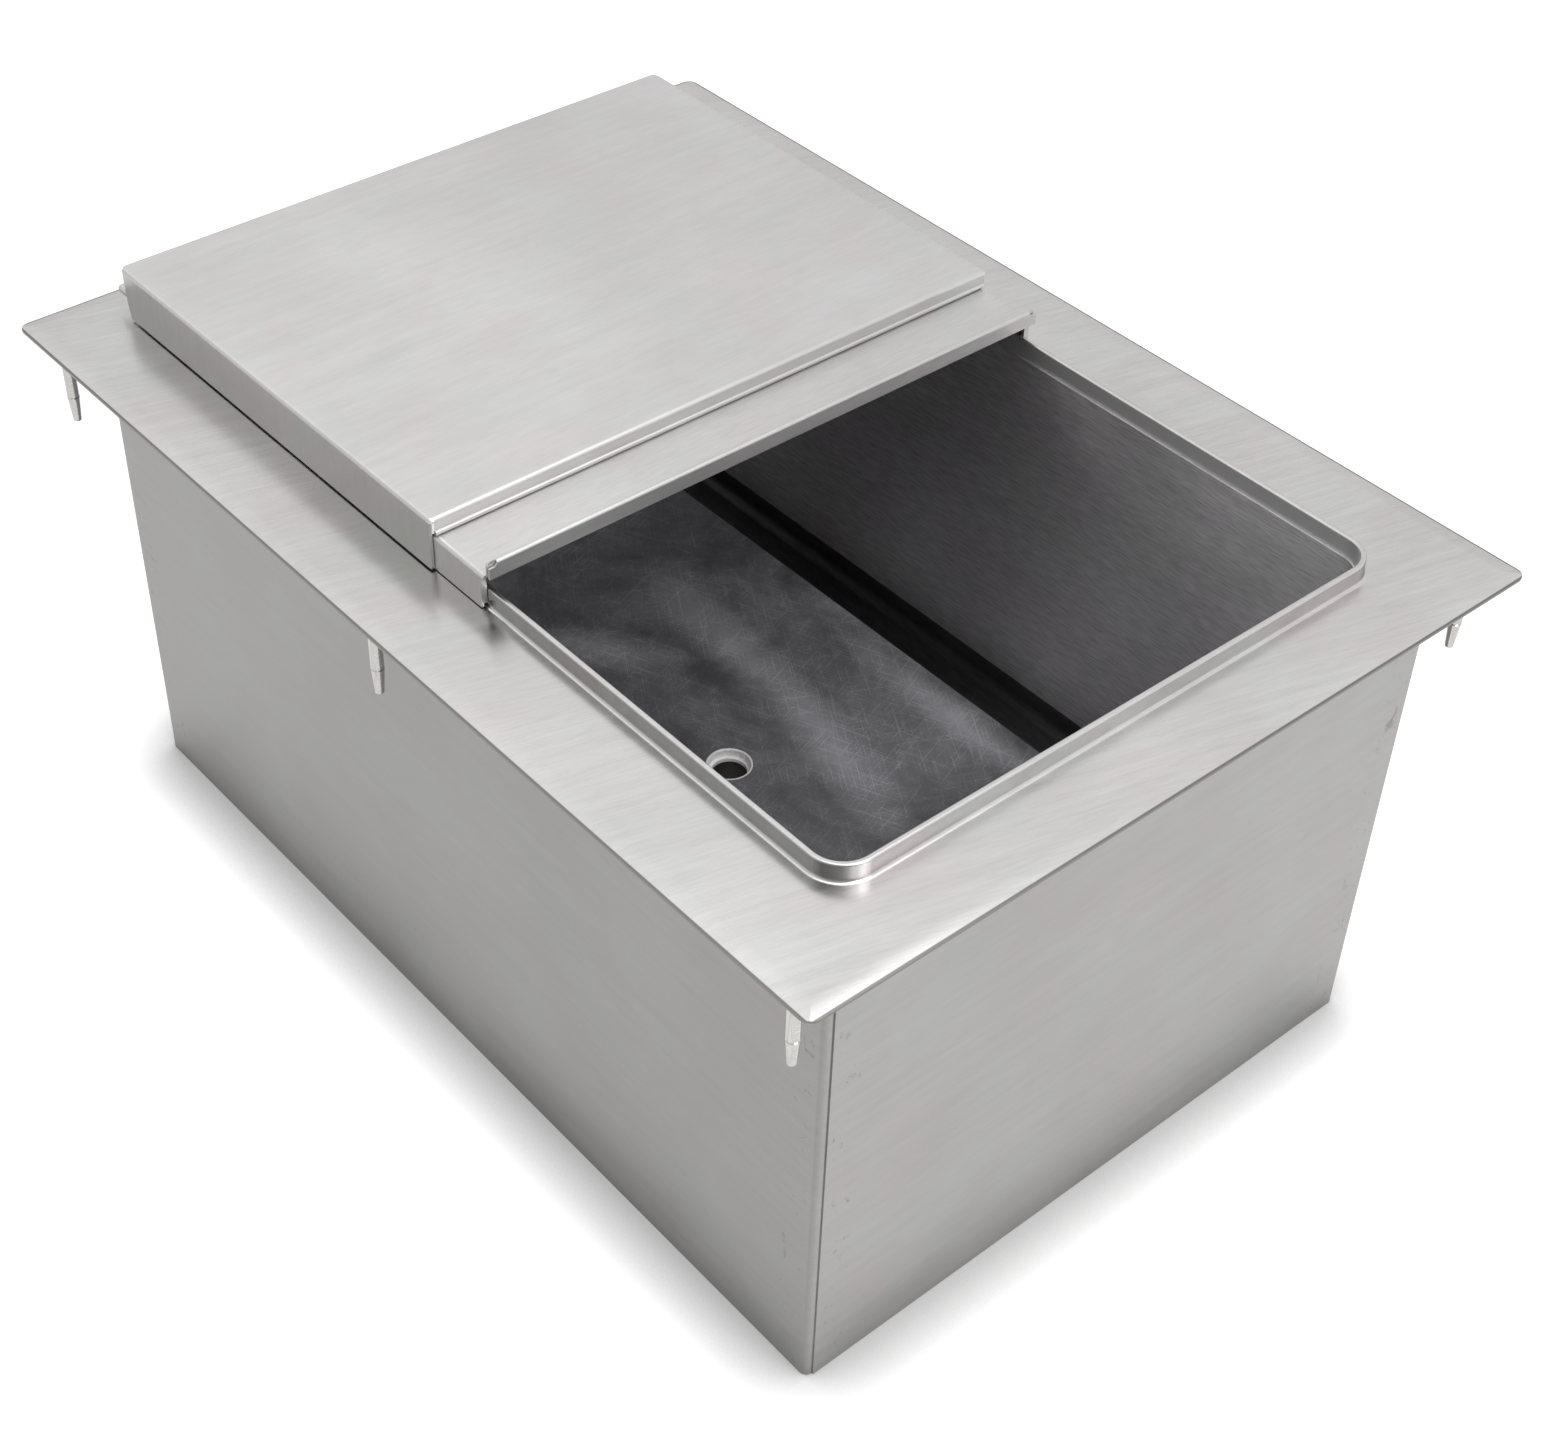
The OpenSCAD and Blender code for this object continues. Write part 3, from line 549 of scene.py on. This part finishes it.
# Gutter colour: painted shade, darker than steel is
dress(brushed_steel("gutter_satin_304_painted_shade", "646364", "727172", 0.42, grain="XX", across=UP, streak="DADADA"),
      "liner_floor")

# %% [markdown]
# The studs are polished, and the drain's pipe and socket are turned. No belt has drawn them out one
# way, so Anisotropic is 0 on them, and of the grain only faint streaks are left. The ring in the floor
# plate shines nearly white in the photo. It is drawn as a pale surface with hardly any metal in it,
# which sends back more light down there than a mirror of the dark tub would. That is a stand-in for
# bright turned steel, and it is still darker than in the photo.

# %% Studs, drain ring and drain pipe
dress(brushed_steel("polished_304", "BAB8B6", "C4C2C0", 0.10, spread=0.03, scratch=0.02, anisotropy=0.0),
      "mounting_studs", "stud_noses")
dress(brushed_steel("bright_turned_304", "FAFCFC", "FFFFFF", 0.40, scratch=0.02, anisotropy=0.0,
                    metallic=0.05), "drain_collar")
dress(brushed_steel("turned_304", "A9A8A6", "B6B5B3", 0.35, anisotropy=0.0), "drain_pipe", "drain_socket")

# %% [markdown]
# The floor plate is cast aluminium that ice and scoops have scuffed for a while. Aluminium grows a dull grey
# oxide, so it is part metal and part matt. Its skin is dark, with cloudy lighter patches and fine scratches
# that run four ways and show more where the skin is lighter. Noise can't put a patch in a given place, so
# four oval spots of painted light are laid where light falls on the plate in bands, and the scratches show
# more there too.

# %% Cast aluminium of the floor plate
PATCH = 0.080
SCUFF_L = 0.030
GRIT = 0.0012
GRIT_DEPTH = 0.00008
PLATE_TOP = 0.076
# Each spot of painted light: its place and radii in metres, and its turn
PAINTED_LIGHT_SPOTS = (((-0.070, 0.064), (0.085, 0.022), -0.05), ((0.030, 0.052), (0.085, 0.022), -0.25),
          ((0.060, 0.120), (0.110, 0.014), 0.0), ((-0.115, 0.010), (0.050, 0.020), 0.6))
PAINTED_LIGHT_GAIN = 0.20
# Tones that the noise gives, and those between which the scratches go from faint to plain. Then how strongly
# scratches show at either end, the tones that the colours are spread over, and the roughness.
PATCH_TONES = (0.38, 0.58)
SCRATCH_TONES = (0.42, 0.62)
SCRATCH_SHOWS = (0.03, 0.16)
COLOUR_TONES = (0.42, 0.78)
PLATE_ROUGHNESS = (0.56, 0.46)
# Each set of scratches: which way it runs, how wide it is in metres, and the level that draws it
SCRATCHES = ((0.4, 0.0006, 0.67), (1.1, 0.0005, 0.69), (1.9, 0.0006, 0.68), (2.6, 0.0005, 0.67))
SOFT_EDGE = 0.05


def laid(tree, coords, **placing):
    """Object coordinates as a texture that is moved, turned and scaled sees them."""
    return add(tree, "ShaderNodeMapping", {"vector_type": "TEXTURE", "Vector": coords["Object"],
                                           **placing}).outputs[0]


def hairlines(tree, coords, turn, width, level):
    """Thin bent scratches that run one way: where stretched noise passes a level."""
    place = laid(tree, coords, Rotation=(0, 0, turn), Scale=(SCUFF_L, width, 1))
    return span(tree, noise(tree, place, 1.0, 1.0, distortion=0.6), level - SOFT_EDGE, level)


def painted_light_spot(tree, coords, at, radii, turn):
    """1 in the middle of an oval spot, which fades to 0 at its edge."""
    place = laid(tree, coords, Location=(*at, PLATE_TOP), Rotation=(0, 0, turn), Scale=(*radii, 1))
    spot = add(tree, "ShaderNodeTexGradient", {"gradient_type": "SPHERICAL", "Vector": place})
    return spot.outputs["Fac"]


def cast_aluminium(name):
    """Dull, dark cast skin with cloudy patches, spots of painted light, crossing scratches and a fine grit.
    """
    material, tree = new_material(name)
    coords = add(tree, "ShaderNodeTexCoord").outputs
    patch = noise(tree, coords["Object"], PATCH, 9.0, 0.62, 0.7)
    tone = to_range(tree, patch, *PATCH_TONES)
    # Spots of painted light that lighten the skin where light falls on the plate in bands
    for at, radii, turn in PAINTED_LIGHT_SPOTS:
        tone = calc(tree, "MULTIPLY_ADD", painted_light_spot(tree, coords, at, radii, turn), PAINTED_LIGHT_GAIN, tone)
    # How strongly the scratches show follows the tone, the painted light included
    scratch_strength = span(tree, tone, *SCRATCH_TONES, *SCRATCH_SHOWS)
    for turn, width, level in SCRATCHES:
        line = calc(tree, "MULTIPLY", scratch_strength, hairlines(tree, coords, turn, width, level))
        tone = calc(tree, "ADD", tone, line)
    grit = noise(tree, coords["Object"], GRIT)
    relief = add(tree, "ShaderNodeBump", {"Strength": 0.3, "Distance": GRIT_DEPTH, "Height": grit})
    show(tree, add(tree, "ShaderNodeBsdfPrincipled", {
        "Metallic": 0.2, "Base Color": ramp(tree, tone, "5C5C5F", "BCBCC2", *COLOUR_TONES),
        "Roughness": to_range(tree, patch, *PLATE_ROUGHNESS), "Normal": relief.outputs["Normal"]}))
    return material


dress(cast_aluminium("cast_aluminium_scuffed"), "floor_plate")

# %% [markdown]
# Between the liner and the case lies closed-cell polyurethane foam, which the photo doesn't show. Real
# foam is poured in place. The model has it as boards, seen only when the bin is taken apart. A Voronoi
# pattern gives the cells, drawn a few times as coarse as real ones.

# %% Foam
CELL = 0.0015
CELL_DEPTH = 0.0003


def foam(name):
    """Closed-cell polyurethane board: cream, matt, with fine cells."""
    material, tree = new_material(name)
    coords = add(tree, "ShaderNodeTexCoord").outputs
    cells = add(tree, "ShaderNodeTexVoronoi", {"Scale": 1 / CELL, "Vector": coords["Object"]})
    distance = cells.outputs["Distance"]
    relief = add(tree, "ShaderNodeBump", {"Strength": 0.4, "Distance": CELL_DEPTH, "Height": distance})
    show(tree, add(tree, "ShaderNodeBsdfPrincipled", {
        "Roughness": 0.85, "Base Color": ramp(tree, distance, "D9CCA0", "E6DCB6", 0.0, 1.0),
        "Normal": relief.outputs["Normal"]}))
    return material


dress(foam("polyurethane_foam"), "insulation_front", "insulation_back", "insulation_left", "insulation_right",
      "insulation_base")

# %% [markdown]
# A grommet keeps the drain's socket from rubbing on the case bottom. The photo doesn't show it. It
# could be moulded of EPDM rubber, which is near black and grows a faint grey bloom with age.

# %% Rubber
BLOOM = 0.006


def rubber(name):
    """Moulded EPDM: near black, with a soft bloom."""
    material, tree = new_material(name)
    coords = add(tree, "ShaderNodeTexCoord").outputs
    bloom = noise(tree, coords["Object"], BLOOM, 3.0)
    show(tree, add(tree, "ShaderNodeBsdfPrincipled", {
        "Roughness": 0.6, "Base Color": ramp(tree, bloom, "161616", "242424")}))
    return material


dress(rubber("epdm_rubber"), "drain_grommet")
